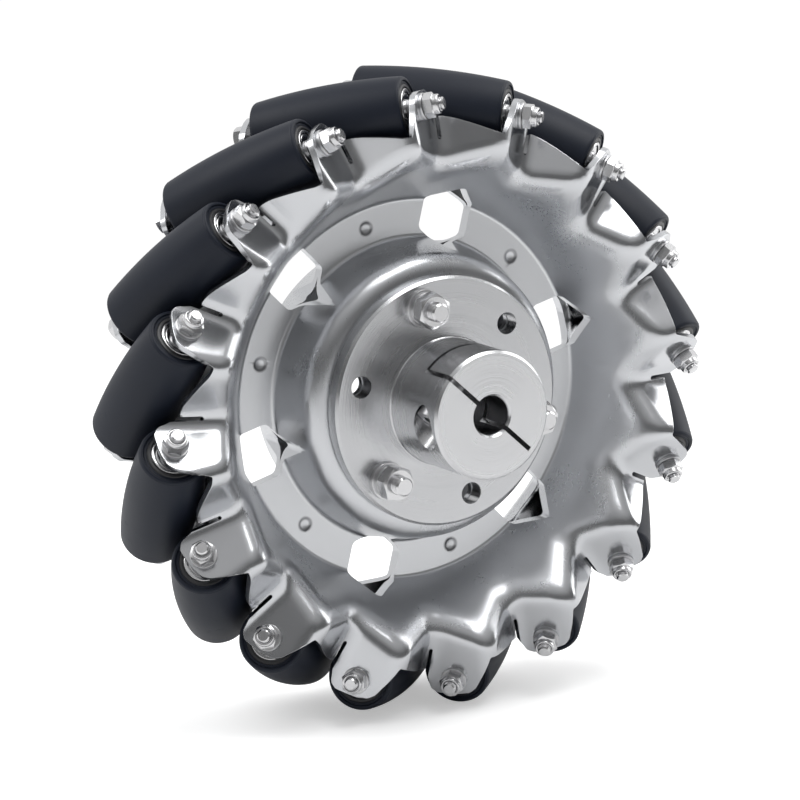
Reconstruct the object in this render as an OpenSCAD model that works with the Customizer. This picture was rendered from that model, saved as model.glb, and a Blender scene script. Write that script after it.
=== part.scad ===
// Mecanum wheel: two pressed stainless plates back to back, a slotted clamp hub
// and sixteen free-running rubber rollers set at 45 degrees to the axle.
// Wheel centre at the origin, axle along Y, hub nose towards -Y.

/* [Wheel] */
// Diameter over the rollers
wheel_d = 203.2; // [198:0.5:210]
// Angle between a roller and the wheel's axle
roller_tilt = 45; // [44:0.5:46]
// Where the middle of the first roller stands, from the horizontal
first_roller_a = 16.5; // [0:0.5:22]

/* [Rollers] */
// Largest diameter of the rubber, at the middle of a roller
roller_d = 23.6; // [23:0.1:24.2]
// Length of a roller's rubber and core
roller_l = 49; // [47:0.5:50]
// Outside diameter of the core
core_d = 16; // [15:0.25:17]
// Diameter of the core's through hole, between its bearings
core_bore_d = 10.4; // [8:0.1:11]
// Rounding of the rubber's end edges
roller_edge = 0.8; // [0.4:0.1:1]

/* [Bearings] */
// Outside diameter of a bearing
bearing_d = 13; // [12.5:0.1:13.5]
// Width of a bearing
bearing_w = 5; // [4:0.25:5.5]
// Outside diameter of a bearing's inner ring
inner_ring_d = 6.2; // [5.8:0.1:6.8]
// Wall of a bearing's outer ring
outer_ring_wall = 1.1; // [0.8:0.1:1.5]
// Thickness of a bearing's dust shield
shield_t = 0.4; // [0.3:0.05:0.6]
// Depth of a dust shield below the bearing's face
shield_recess = 0.3; // [0.1:0.05:0.5]
// Radial running clearance between shield and inner ring
bearing_clear = 0.06; // [0.03:0.01:0.1]

/* [Axles] */
// Diameter of a roller's axle bolt
axle_d = 4; // [3.6:0.1:4.4]
// Radial clearance round an axle bolt
axle_clear = 0.05; // [0.03:0.01:0.1]
// Outside diameter of the spacer between bearing and plate
spacer_d = 5.8; // [5.4:0.1:6]
// Outside diameter of an axle washer
washer_d = 8.4; // [7.8:0.2:9]
// Thickness of an axle washer
washer_t = 0.8; // [0.6:0.1:1]
// Width across the flats of the axle nuts and bolt heads
axle_af = 7; // [6.6:0.1:7.4]
// Height of the hexagon of an axle nut
axle_nut_h = 3.2; // [2.8:0.1:3.6]
// Height of the round locking collar of an axle nut
axle_collar_h = 1.6; // [1.2:0.1:2]
// Height of an axle bolt's head
axle_head_h = 2.8; // [2.4:0.1:3.2]
// Length of axle bolt that stands out of its nut
axle_tip = 1.4; // [0.8:0.1:2.4]

/* [Plates] */
// Thickness of the sheet
sheet_t = 2; // [1.8:0.05:2.1]
// Distance of a plate's tabs from the middle of a roller, along the roller
tab_s = 28; // [27.7:0.1:28.5]
// Inner radius of the flat ring where the two plates meet
ring_in_r = 48.6; // [47:0.2:50]
// Outer radius of the flat ring
ring_out_r = 60.8; // [59.5:0.2:62]
// Steepness of the wall outside the flat ring
cone_a = 60; // [57:0.5:62]
// Radius of the dome's top, at the start of its wall
dome_r = 43.6; // [42.5:0.2:45]
// Height of the dome above the plane where the plates meet
dome_h = 20.3; // [19:0.5:22]
// Bend radius of the dome's shoulder, at mid sheet
shoulder_bend = 6; // [4:0.5:8]
// Bend radius on either side of the flat ring, at mid sheet
ring_bend = 2.5; // [1.6:0.1:3]
// Radius of a plate's central hole
plate_hole_r = 15; // [13:0.5:18]
// Rounding where the wavy rim folds
fold_round = 5; // [3:0.25:6]

/* [Tabs] */
// Width of a tab from its axle hole to the valley beside it
tab_valley_w = 12; // [11.6:0.1:12.4]
// Width of a tab from its axle hole to the crest beside it
tab_crest_w = 13; // [12.6:0.1:13.4]
// Width of a tab's free end from its axle hole to its free edge
tab_free_w = 7; // [6.4:0.1:7.6]
// Sheet left beyond an axle hole's middle at the end of a tab
tab_margin = 5.2; // [4.8:0.1:5.8]
// How far the rim beside a crest stays inside the circle of the rollers' middles
crest_drop = 4.8; // [4:0.2:6]
// How far the rim in a valley stays inside the circle of the rollers' middles
valley_drop = 1.8; // [1:0.2:3]
// Width of the relief slot between a tab and the fold beside it
relief_w = 1.8; // [1.2:0.1:2.2]
// How far inside the circle of the rollers' middles the relief slots begin
relief_drop = 11.6; // [10:0.2:12.6]

/* [Windows] */
// Width across the flats of a window
window_af = 17.5; // [15:0.5:19]
// Radius at which the windows stand
window_r = 56; // [55:0.25:57]
// Rounding of a window's corners
window_round = 2.5; // [1:0.25:4]
// Diameter of a spot-weld mark
weld_d = 4.4; // [3:0.2:6]
// Depth of a spot-weld mark
weld_depth = 0.45; // [0.2:0.05:0.6]

/* [Hub] */
// Diameter of the hub's flange
flange_d = 79; // [77:0.5:81]
// Thickness of the hub's flange
flange_t = 5.5; // [4.5:0.25:7]
// Diameter of the hub's barrel
barrel_d = 40.4; // [38.4:0.5:41.4]
// Length of the barrel in front of the flange
barrel_l = 27; // [25:0.5:29]
// Diameter of the shaft bore
bore_d = 12; // [10:0.5:12.5]
// Chamfer on the hub's edges
hub_chamfer = 0.8; // [0.4:0.1:1.2]
// Radial clearance of the hub's spigot in the plate
spigot_clear = 0.05; // [0.03:0.01:0.1]
// Width of the clamp's saw cuts
slit_w = 1.5; // [1:0.1:2]
// Direction of the open side of the clamp's slit
slit_a = 139; // [136:1:142]
// Wall left as a hinge at the closed end of the slit
hinge_t = 2.3; // [1.8:0.1:3]
// Depth of the clamp's cross cut behind the front face
cross_cut_z = 14.2; // [13.6:0.2:15]
// Depth of the clamp screw's axis behind the front face
screw_z = 7.8; // [7.2:0.1:8]
// Distance of the clamp screw's axis from the bore's axis
screw_off = 12; // [11.6:0.1:12.4]

/* [Hub fasteners] */
// Diameter of the hub bolts and of the clamp screw
bolt_d = 6; // [5.6:0.1:6]
// Diameter of the flange's holes that hold a bolt
bolt_hole_d = 6.2; // [6.1:0.05:6.3]
// Diameter of the flange's holes left open
open_hole_d = 7; // [6.9:0.05:7.2]
// Diameter of the plates' holes behind the flange's
sheet_hole_d = 6.6; // [6.5:0.05:6.7]
// Diameter of the circle on which the hub's holes stand
bolt_circle_d = 63; // [61.5:0.5:64.5]
// Width across the flats of the hub nuts and bolt heads
bolt_af = 10; // [9.5:0.1:10.5]
// Height of a hub nut
hub_nut_h = 5; // [4:0.25:6]
// Height of a hub bolt's head
hub_head_h = 4; // [3.5:0.25:5]
// Outside diameter of a hub washer
hub_washer_d = 12; // [11:0.25:12.5]
// Thickness of a hub washer
hub_washer_t = 1.4; // [1:0.1:1.6]
// Outside diameter of a spring washer
spring_washer_d = 10.6; // [10:0.2:11]
// Thickness of a spring washer
spring_washer_t = 1.6; // [1.2:0.1:2]
// Length of hub bolt that stands out of its nut
hub_tip = 3.4; // [2:0.2:5]
// Diameter of the clamp screw's head
screw_head_d = 10; // [9.5:0.1:10.2]
// Height of the clamp screw's head
screw_head_h = 6; // [5:0.25:6]
// Width across the flats of the clamp screw's socket
screw_socket_af = 5; // [4:0.25:5]

/* [Hidden] */
roller_n = 16;
pitch_a = 360 / roller_n;
window_n = 6;
window_pitch = 360 / window_n;
used_hub_holes = [1, 3, 5];
open_hub_holes = [0, 2, 4];
round_fn = 96;
small_fn = 48;

wheel_r = wheel_d / 2;
roller_r = roller_d / 2;
axle_r = wheel_r - roller_r;
half_l = roller_l / 2;
tab_front_s = tab_s + sheet_t / 2;
tab_back_s = tab_s - sheet_t / 2;
nut_s = tab_front_s + washer_t;
bolt_tip_s = nut_s + axle_nut_h + axle_collar_h + axle_tip;
axle_hole_d = axle_d + 4 * axle_clear;

// The plates are one pressing, used twice: the rear one is the front one turned
// over about the first roller's middle, so windows and welds line up there.
flip_a = first_roller_a;
window_a = flip_a;
weld_a = flip_a + window_pitch / 2;

flange_z = dome_h;
face_z = dome_h + flange_t;
nose_z = face_z + barrel_l;

function numbered(name, k) = str(name, k < 10 ? "0" : "", k);

// ---- Frames ----

// Wheel frame: x to the right, y up and z forward along the axle
module wheel() rotate([90, 0, 0]) children();

// Roller frame: z along the roller towards the front plate, x away from the axle
module at_roller(k)
    wheel() rotate([0, 0, first_roller_a + (k - 1) * pitch_a]) translate([axle_r, 0, 0])
        rotate([roller_tilt, 0, 0]) children();

// Both ends of one roller: z away from its middle, for what is the same at each end
module both_ends() {
    children();
    mirror([0, 0, 1]) children();
}

module ring(d_out, d_in, h, fn = small_fn) {
    difference() {
        cylinder(d = d_out, h = h, $fn = fn);
        translate([0, 0, -h]) cylinder(d = d_in, h = 3 * h, $fn = fn);
    }
}

// Hexagon with its outer corners turned off on the far face
module hexagon_block(af, h) {
    corner_d = af / cos(30);
    turn = (corner_d - af) / 2;
    intersection() {
        cylinder(d = corner_d, h = h, $fn = 6);
        union() {
            cylinder(d = corner_d, h = h - turn / 2, $fn = small_fn);
            translate([0, 0, h - turn / 2])
                cylinder(d1 = corner_d, d2 = af * 0.96, h = turn / 2, $fn = small_fn);
        }
    }
}

// Bolt shank with a turned point at its far end
module shank(d, h, point = 0.6) {
    cylinder(d = d, h = h - point, $fn = small_fn);
    translate([0, 0, h - point]) cylinder(d1 = d, d2 = d - 2 * point, h = point, $fn = small_fn);
}

// ---- Rollers ----

// Radius of the rubber at distance s from a roller's middle: the roller's outer
// line then lies on the wheel's round rim
function rubber_r(s) = sqrt(wheel_r * wheel_r - pow(s * sin(roller_tilt), 2)) - axle_r;

function rubber_profile(steps = 16) =
    let (flat_l = half_l - roller_edge)
    concat(
        [[core_d / 2, -half_l], [rubber_r(half_l) - roller_edge, -half_l]],
        [for (i = [0 : steps]) let (s = -flat_l + 2 * flat_l * i / steps) [rubber_r(s), s]],
        [[rubber_r(half_l) - roller_edge, half_l], [core_d / 2, half_l]]);

module roller_tyre(k) color([0.07, 0.08, 0.1]) at_roller(k)
    rotate_extrude($fn = small_fn) polygon(rubber_profile());

module roller_core(k) color([0.13, 0.13, 0.14]) at_roller(k)
    difference() {
        translate([0, 0, -half_l]) cylinder(d = core_d, h = roller_l, $fn = small_fn);
        translate([0, 0, -roller_l]) cylinder(d = core_bore_d, h = 2 * roller_l, $fn = small_fn);
        both_ends() translate([0, 0, half_l - bearing_w])
            cylinder(d = bearing_d, h = 2 * bearing_w, $fn = small_fn);
    }

// Outer ring and its two dust shields, turning with the roller
function bearing_shell_profile() =
    let (ro = bearing_d / 2, ri = ro - outer_ring_wall,
         rs = inner_ring_d / 2 + bearing_clear, a = shield_recess, b = a + shield_t)
    [[ro, 0], [ri, 0], [ri, a], [rs, a], [rs, b], [ri, b],
     [ri, bearing_w - b], [rs, bearing_w - b], [rs, bearing_w - a], [ri, bearing_w - a],
     [ri, bearing_w], [ro, bearing_w]];

module roller_bearings(k) color([0.75, 0.76, 0.78]) at_roller(k)
    both_ends() translate([0, 0, half_l - bearing_w])
        rotate_extrude($fn = small_fn) polygon(bearing_shell_profile());

module bearing_inner_rings() color([0.8, 0.8, 0.82])
    for (k = [1 : roller_n]) at_roller(k) both_ends() translate([0, 0, half_l - bearing_w])
        ring(inner_ring_d, axle_d + 2 * axle_clear, bearing_w);

module roller_spacers() color([0.78, 0.78, 0.8])
    for (k = [1 : roller_n]) at_roller(k) both_ends() translate([0, 0, half_l])
        ring(spacer_d, axle_d + 2 * axle_clear, tab_back_s - half_l);

module axle_bolts() color([0.72, 0.73, 0.75])
    for (k = [1 : roller_n]) at_roller(k) {
        translate([0, 0, -nut_s]) shank(axle_d, nut_s + bolt_tip_s);
        translate([0, 0, -nut_s]) mirror([0, 0, 1]) hexagon_block(axle_af, axle_head_h);
    }

module axle_washers() color([0.8, 0.8, 0.81])
    for (k = [1 : roller_n]) at_roller(k) both_ends() translate([0, 0, tab_front_s])
        ring(washer_d, axle_d + 2 * axle_clear, washer_t);

module axle_nuts() color([0.74, 0.75, 0.77])
    for (k = [1 : roller_n]) at_roller(k) translate([0, 0, nut_s])
        difference() {
            union() {
                hexagon_block(axle_af, axle_nut_h);
                translate([0, 0, axle_nut_h - 0.4])
                    cylinder(d1 = axle_af * 0.92, d2 = axle_af * 0.82, h = axle_collar_h + 0.4,
                             $fn = small_fn);
            }
            translate([0, 0, -1])
                cylinder(d = axle_d + 2 * axle_clear, h = 3 * axle_nut_h, $fn = small_fn);
        }

// ---- Pressed plates ----

function unit(v) = v / norm(v);
function left_of(v) = [-v[1], v[0]];
function short_turn(a) = let (w = (a % 360 + 540) % 360) w - 180;

// Points round one bend of a sheet's section: corner p1 between p0 and p2, bend
// radius r at mid sheet, at distance d to the left of the mid line
function bend(p0, p1, p2, r, d, steps = 5) =
    let (a = unit(p0 - p1), b = unit(p2 - p1), half = acos(a * b) / 2,
         c = p1 + unit(a + b) * r / sin(half),
         t0 = p1 + a * r / tan(half) - c, t1 = p1 + b * r / tan(half) - c,
         to_left = unit(a + b) * left_of(-a) > 0 ? 1 : -1,
         a0 = atan2(t0[1], t0[0]), turn = short_turn(atan2(t1[1], t1[0]) - a0))
    [for (i = [0 : steps]) let (w = a0 + turn * i / steps)
        c + (r - to_left * d) * [cos(w), sin(w)]];

// The dish: central disc, dome wall, flat ring and the start of the outer wall,
// as a mid line in radius and height
dish_end_r = ring_out_r + 5;
mid_ring_z = sheet_t / 2;
mid_dome_z = dome_h - sheet_t / 2;
cone_foot_r = ring_out_r + ring_bend * 0.3;
function cone_mid_z(r) = mid_ring_z + (r - cone_foot_r) * tan(cone_a);
dish_line = [[plate_hole_r, mid_dome_z], [dome_r, mid_dome_z],
             [ring_in_r - ring_bend * 0.3, mid_ring_z], [cone_foot_r, mid_ring_z],
             [dish_end_r, cone_mid_z(dish_end_r)]];
dish_bends = [shoulder_bend, ring_bend, ring_bend];

function dish_side(d) =
    let (p = dish_line, first = left_of(unit(p[1] - p[0])), last = left_of(unit(p[4] - p[3])))
    concat([p[0] + d * first],
           [for (i = [1 : 3]) each bend(p[i - 1], p[i], p[i + 1], dish_bends[i - 1], d)],
           [p[4] + d * last]);

function reversed(list) = [for (i = [len(list) - 1 : -1 : 0]) list[i]];

module dish()
    rotate_extrude($fn = round_fn)
        polygon(concat(dish_side(sheet_t / 2), reversed(dish_side(-sheet_t / 2))));

// The wavy rim. Each tab is a flat facet square to its roller's axle, and a
// second facet leads from the tab's crest down to the next tab's valley.
hole_y = tab_s * sin(roller_tilt);
hole_a = atan(hole_y / axle_r);
crest_a = atan((hole_y - tab_crest_w * cos(roller_tilt)) / axle_r);
valley_a = atan((hole_y + tab_valley_w * cos(roller_tilt)) / axle_r);
free_edge_a = atan((hole_y - tab_free_w * cos(roller_tilt)) / axle_r);

function soft_min(a, b, k) = let (h = max(k - abs(a - b), 0)) min(a, b) - h * h / (4 * k);
function soft_max(a, b, k) = -soft_min(-a, -b, k);

// Height of a tab's front face at radius r, at angle e short of its roller
function tab_z(r, e) = tab_front_s / cos(roller_tilt) - r * sin(e) * tan(roller_tilt);
function return_z(r, e) =
    let (low_e = valley_a - pitch_a, low = tab_z(r, valley_a), high = tab_z(r, crest_a))
    low + (high - low) * (e - low_e) / (crest_a - low_e);
function facet_z(r, e) =
    soft_max(soft_min(tab_z(r, e), return_z(r, e), fold_round),
             max(return_z(r, e - pitch_a), tab_z(r, e + pitch_a)), fold_round);
function cone_z(r) = cone_mid_z(r) + sheet_t / 2 / cos(cone_a);
function rim_z(r, e) = soft_min(cone_z(r), facet_z(r, e), fold_round);

// Radius where the outer wall meets the facets
function fold_r(e, r = 74, tries = 4) =
    tries == 0 ? r : fold_r(e, r + (facet_z(r, e) - cone_z(r)) / tan(cone_a), tries - 1);

// Outline of the rim over one pitch, from one valley to the next. The drop from
// a tab to the valley lies inside the relief slot.
tab_end_r = norm([axle_r, hole_y]) + tab_margin;
crest_r = axle_r - crest_drop;
valley_r = axle_r - valley_drop;
tab_far_a = valley_a - 1;
rim_outline = [
    [valley_a - pitch_a, valley_r],
    [valley_a - pitch_a + 1, valley_r + 0.3],
    [valley_a - pitch_a + 3, valley_r],
    [crest_a - 2, crest_r + 0.4],
    [crest_a, crest_r],
    [free_edge_a - 0.3, tab_end_r - 4.5],
    [free_edge_a + 0.2, tab_end_r - 2.2],
    [free_edge_a + 1.1, tab_end_r - 0.5],
    [hole_a, tab_end_r],
    [tab_far_a - 1.4, tab_end_r - 0.5],
    [tab_far_a - 0.3, tab_end_r - 2.2],
    [tab_far_a, tab_end_r - 4],
    [valley_a - 0.2, valley_r + 2],
    [valley_a, valley_r]];

// Angles at which the rim is cut into strips, over one pitch
rim_angles = [
    valley_a - pitch_a, valley_a - pitch_a + 1, valley_a - pitch_a + 3,
    crest_a - 2, crest_a - 0.7, crest_a + 0.5,
    free_edge_a - 0.3, free_edge_a + 0.2, free_edge_a + 1.1,
    hole_a, tab_far_a - 1.4, tab_far_a - 0.3, tab_far_a, valley_a - 0.2];

// Each strip's stations: inside the dish, across the fold and at the outline
rim_overlap = 1;
rim_inset = 0.02;
function rim_radii(e) = let (f = fold_r(e), out = lookup(e, rim_outline), half = 3)
    [dish_end_r - rim_overlap, f - half, f - half / 3, f + half / 3, f + half, out];

function wheel_angle(k, e) = first_roller_a + k * pitch_a - e;
function rim_point(k, e, r) =
    [r * cos(wheel_angle(k, e)), r * sin(wheel_angle(k, e)), rim_z(r, e)];
// Direction square to the rim's front face
function rim_normal(k, e, r, d = 0.05) =
    let (across = rim_point(k, e - d, r) - rim_point(k, e + d, r),
         outward = rim_point(k, e, r + d) - rim_point(k, e, r - d))
    unit(cross(outward, across));
function rim_layer(depth) =
    [for (k = [0 : roller_n - 1], e = reversed(rim_angles), r = rim_radii(e))
        rim_point(k, e, r) - depth * rim_normal(k, e, r)];

module wavy_rim() {
    rows = len(rim_radii(crest_a));
    strips = roller_n * len(rim_angles);
    back = strips * rows;
    polyhedron(
        points = concat(rim_layer(rim_inset), rim_layer(sheet_t - rim_inset)),
        faces = [for (i = [0 : strips - 1]) let (a = i * rows, b = (i + 1) % strips * rows)
            each concat(
                [for (j = [0 : rows - 2]) each [
                    [a + j, b + j, b + j + 1], [a + j, b + j + 1, a + j + 1],
                    [back + a + j, back + b + j + 1, back + b + j],
                    [back + a + j, back + a + j + 1, back + b + j + 1]]],
                [[a, back + a, back + b], [a, back + b, b],
                 [a + rows - 1, b + rows - 1, back + b + rows - 1],
                 [a + rows - 1, back + b + rows - 1, back + a + rows - 1]])]);
}

// Regular hexagon with rounded corners
function rounded_hexagon(af, r, steps = 4) =
    let (c = af / 2 / cos(30) - r / cos(30))
    [for (i = [0 : 5], j = [0 : steps])
        let (w = 60 * i, t = w - 30 + 60 * j / steps) [c * cos(w) + r * cos(t), c * sin(w) + r * sin(t)]];

module plate() {
    reach = 4 * dome_h;
    difference() {
        union() {
            dish();
            wavy_rim();
        }
        for (i = [0 : window_n - 1]) rotate([0, 0, window_a + i * window_pitch])
            translate([window_r, 0, -reach / 2])
                linear_extrude(reach) polygon(rounded_hexagon(window_af, window_round));
        for (i = [0 : window_n - 1]) rotate([0, 0, weld_a + i * window_pitch]) {
            translate([bolt_circle_d / 2, 0, 0])
                cylinder(d = sheet_hole_d, h = reach, $fn = small_fn);
            weld_mark();
        }
        for (k = [0 : roller_n - 1]) rotate([0, 0, first_roller_a + k * pitch_a])
            translate([axle_r, 0, 0]) rotate([roller_tilt, 0, 0])
                translate([0, 0, tab_s - 2 * sheet_t])
                    cylinder(d = axle_hole_d, h = 4 * sheet_t, $fn = small_fn);
        for (k = [0 : roller_n - 1]) rotate([0, 0, wheel_angle(k, valley_a)])
            relief_slot(reach);
    }
}

// Round-ended slot that frees a tab from the fold beside it
module relief_slot(reach) {
    translate([axle_r - relief_drop + relief_w / 2, 0, 0]) {
        cylinder(d = relief_w, h = reach, $fn = 16);
        translate([0, -relief_w / 2, 0]) cube([2 * relief_drop, relief_w, reach]);
    }
}

// Shallow round hollow left by a spot weld
module weld_mark() {
    ball_r = (weld_d * weld_d / 4 + weld_depth * weld_depth) / (2 * weld_depth);
    translate([(ring_in_r + ring_out_r) / 2, 0, sheet_t + ball_r - weld_depth])
        sphere(r = ball_r, $fn = small_fn);
}

module front_plate() color([0.72, 0.72, 0.74]) wheel() plate();
module rear_plate() color([0.68, 0.68, 0.7])
    wheel() rotate(a = 180, v = [cos(flip_a), sin(flip_a), 0]) plate();

// ---- Hub ----

// Clamp frame: x towards the slit's open side, y from the screw's head to its
// point, z forward
module clamp_frame() rotate([0, 0, slit_a]) children();

hub_profile =
    let (b = barrel_d / 2, f = flange_d / 2, c = hub_chamfer, s = plate_hole_r - spigot_clear)
    [[0, dome_h - sheet_t], [s, dome_h - sheet_t], [s, flange_z], [f - c / 2, flange_z],
     [f, flange_z + c / 2], [f, face_z - c], [f - c, face_z], [b, face_z],
     [b, nose_z - c], [b - c, nose_z], [0, nose_z]];

// The screw lies on the slit's far side from the bore: its head sits in a
// counterbore in the solid half and its point is held in the freed jaw
screw_seat_y = 6.5;
screw_l = 19;
screw_clear = 0.3;
module clamp_cuts() {
    reach = barrel_d;
    // slit, from beyond the open side to the hinge
    translate([-barrel_d / 2 + hinge_t, -slit_w / 2, nose_z - cross_cut_z])
        cube([reach + barrel_d / 2, slit_w, reach]);
    // cross cut under the freed jaw
    translate([-barrel_d / 2 + hinge_t, -reach, nose_z - cross_cut_z])
        cube([reach + barrel_d / 2, reach + slit_w / 2, slit_w]);
    translate([screw_off, 0, nose_z - screw_z]) rotate([90, 0, 0]) {
        translate([0, 0, -reach]) cylinder(d = bolt_d + 2 * screw_clear, h = reach, $fn = small_fn);
        translate([0, 0, -reach - screw_seat_y])
            cylinder(d = screw_head_d + 4 * screw_clear, h = reach, $fn = small_fn);
        cylinder(d = bolt_d + 2 * axle_clear, h = screw_l - screw_seat_y + 1, $fn = small_fn);
    }
}

module hub_holes(places, d)
    for (i = places) rotate([0, 0, weld_a + i * window_pitch])
        translate([bolt_circle_d / 2, 0, 0]) cylinder(d = d, h = nose_z, $fn = small_fn);

module clamp_hub() color([0.86, 0.86, 0.88]) wheel()
    difference() {
        rotate_extrude($fn = round_fn) polygon(hub_profile);
        translate([0, 0, dome_h / 2]) cylinder(d = bore_d, h = nose_z, $fn = round_fn);
        translate([0, 0, nose_z - hub_chamfer])
            cylinder(d1 = bore_d, d2 = bore_d + 4 * hub_chamfer, h = 2 * hub_chamfer, $fn = round_fn);
        hub_holes(used_hub_holes, bolt_hole_d);
        hub_holes(open_hub_holes, open_hole_d);
        clamp_frame() clamp_cuts();
    }

module clamp_screw() color([0.6, 0.6, 0.62]) wheel() clamp_frame()
    translate([screw_off, screw_seat_y, nose_z - screw_z]) rotate([90, 0, 0])
        difference() {
            union() {
                shank(bolt_d, screw_l);
                translate([0, 0, -screw_head_h])
                    cylinder(d = screw_head_d, h = screw_head_h, $fn = small_fn);
            }
            translate([0, 0, -2 * screw_head_h])
                cylinder(d = screw_socket_af / cos(30), h = 1.5 * screw_head_h, $fn = 6);
        }

module at_hub_bolts()
    wheel() for (i = used_hub_holes) rotate([0, 0, weld_a + i * window_pitch])
        translate([bolt_circle_d / 2, 0, face_z]) children();

washer_gap = 0.02;
nut_z = hub_washer_t + washer_gap + spring_washer_t;
grip = flange_t + sheet_t;

module hub_bolts() color([0.7, 0.7, 0.72]) at_hub_bolts() {
    translate([0, 0, -grip]) shank(bolt_d, grip + nut_z + hub_nut_h + hub_tip);
    translate([0, 0, -grip]) mirror([0, 0, 1]) hexagon_block(bolt_af, hub_head_h);
}

// Flat washers, and split spring washers above them
module hub_washers() color([0.78, 0.78, 0.8]) at_hub_bolts() {
    ring(hub_washer_d, bolt_d + 2 * axle_clear, hub_washer_t);
    translate([0, 0, hub_washer_t + washer_gap]) difference() {
        ring(spring_washer_d, bolt_d + 2 * axle_clear, spring_washer_t);
        translate([0, -spring_washer_t / 4, -spring_washer_t])
            cube([spring_washer_d, spring_washer_t / 2, 3 * spring_washer_t]);
    }
}

module hub_nuts() color([0.75, 0.75, 0.77]) at_hub_bolts()
    translate([0, 0, nut_z]) difference() {
        hexagon_block(bolt_af, hub_nut_h);
        translate([0, 0, -1])
            cylinder(d = bolt_d + 2 * axle_clear, h = 2 * hub_nut_h, $fn = small_fn);
    }

// ---- Assembly ----

front_plate();
rear_plate();
clamp_hub();
clamp_screw();
hub_bolts();
hub_nuts();
hub_washers();
axle_bolts();
axle_nuts();
axle_washers();
roller_spacers();
bearing_inner_rings();
for (k = [1 : roller_n]) {
    roller_tyre(k);
    roller_core(k);
    roller_bearings(k);
}
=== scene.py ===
# %% [markdown]
# # A mecanum wheel, dressed
# A mecanum wheel carries a ring of free rollers set at a slant round its rim, so that
# a robot on four of them can drive sideways as well as forwards. Its structure comes
# from a packed CAD model. This lesson makes the finely finished pieces that stand for
# those solids: two pressed steel plates, a turned clamp hub, rubber rollers on ball
# bearings, and the nuts and bolts. Lengths are in millimetres and are scaled to metres
# where a mesh is made.

# %% Load the packed frame
import math
import random

import bpy
from mathutils import Matrix, Vector


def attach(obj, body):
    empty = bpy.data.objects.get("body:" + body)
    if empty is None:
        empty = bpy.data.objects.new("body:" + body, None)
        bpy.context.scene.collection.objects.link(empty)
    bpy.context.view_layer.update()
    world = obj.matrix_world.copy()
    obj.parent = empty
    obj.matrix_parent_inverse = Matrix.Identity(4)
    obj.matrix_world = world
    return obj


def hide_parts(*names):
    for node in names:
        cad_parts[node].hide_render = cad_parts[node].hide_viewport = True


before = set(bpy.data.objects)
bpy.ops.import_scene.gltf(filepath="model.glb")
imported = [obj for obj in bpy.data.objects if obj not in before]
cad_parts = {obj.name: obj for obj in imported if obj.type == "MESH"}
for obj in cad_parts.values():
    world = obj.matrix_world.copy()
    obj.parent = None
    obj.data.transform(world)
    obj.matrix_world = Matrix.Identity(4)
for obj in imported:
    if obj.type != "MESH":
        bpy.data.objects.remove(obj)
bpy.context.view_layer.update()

MM = 0.001

# %% [markdown]
# ## The wheel's measures
# A wheel is easiest to describe in its own frame, with its axle along Z. The same few
# numbers shape every piece, so they are named once, and the rest is worked out. A name
# that ends in R is a radius, in A an angle in degrees, and in Z a height on the axle.

# %% Name the wheel's measures
WHEEL_R = 101.6
ROLLER_N = 16
PITCH = 360 / ROLLER_N
TILT = 45
SLANT = math.radians(TILT)
FIRST_ROLLER = 16.5
ROLLER_R = 11.8
ROLLER_HALF = 24.5
AXLE_R = WHEEL_R - ROLLER_R

SHEET = 2.0
TAB_S = 28.0  # from a roller's middle to the middle of its tab, along its axle
TAB_FRONT = TAB_S + SHEET / 2
TAB_BACK = TAB_S - SHEET / 2

DOME_H = 20.3
FLANGE_T = 5.5
BARREL_L = 27.0
FACE_Z = DOME_H + FLANGE_T
NOSE_Z = FACE_Z + BARREL_L

SIXTH = 60
WINDOW_N = 6
WINDOW_A = FIRST_ROLLER
WELD_A = WINDOW_A + SIXTH / 2
BOLT_CIRCLE_R = 31.5
USED_HOLES = (1, 3, 5)
OPEN_HOLES = (0, 2, 4)
print("rollers stand", round(AXLE_R, 1), "mm from the axle, every", PITCH, "degrees")


# %% [markdown]
# ## Places
# A finished piece keeps its object at the origin, so its place goes into its mesh. Two
# matrices do most of the work: one turns the wheel's frame so that the axle lies along
# Y, and one stands a piece on the slanted axle of roller k.

# %% Work out where things go
WHEEL = Matrix.Rotation(math.radians(90), 4, "X")
TURN_OVER = Matrix.Rotation(math.radians(180), 4, "X")


def shifted(x, y, z):
    """Move by millimetres."""
    return Matrix.Translation((x * MM, y * MM, z * MM))


def turned_by(degrees, axis="Z"):
    """Turn about an axis through the origin."""
    return Matrix.Rotation(math.radians(degrees), 4, axis)


def on_roller(k, s=0.0):
    """Place on roller k's axle, s millimetres from its middle towards the front plate."""
    return (WHEEL @ turned_by(FIRST_ROLLER + k * PITCH) @ shifted(AXLE_R, 0, 0)
            @ turned_by(TILT, "X") @ shifted(0, 0, s))


def at_weld(i, r, z):
    """Place at radius r and height z in line with weld i, in the wheel's own frame."""
    return turned_by(WELD_A + i * SIXTH) @ shifted(r, 0, z)


def on_hub_hole(i, z):
    """Place on the flange's hole i, at height z along the wheel's axle."""
    return WHEEL @ turned_by(WELD_A + i * SIXTH) @ shifted(BOLT_CIRCLE_R, 0, z)


print("roller 1 stands at", [round(v, 4) for v in on_roller(0).to_translation()])


# %% [markdown]
# ## Working by operator, without a window
# Blender's operators act on what is selected, and loading the frame leaves its nodes
# selected. So each helper first deselects everything, then picks its own piece.

# %% Select pieces and enter edit mode
def clear_selection():
    if bpy.context.object and bpy.context.object.mode != "OBJECT":
        bpy.ops.object.mode_set(mode="OBJECT")
    bpy.ops.object.select_all(action="DESELECT")


def pick(*pieces):
    clear_selection()
    for piece in pieces:
        piece.select_set(True)
    bpy.context.view_layer.objects.active = pieces[0]


def open_mesh(piece):
    """Enter edit mode on a piece with all of it selected."""
    pick(piece)
    bpy.ops.object.mode_set(mode="EDIT")
    bpy.ops.mesh.select_all(action="SELECT")


def close_mesh():
    bpy.ops.object.mode_set(mode="OBJECT")


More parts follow.
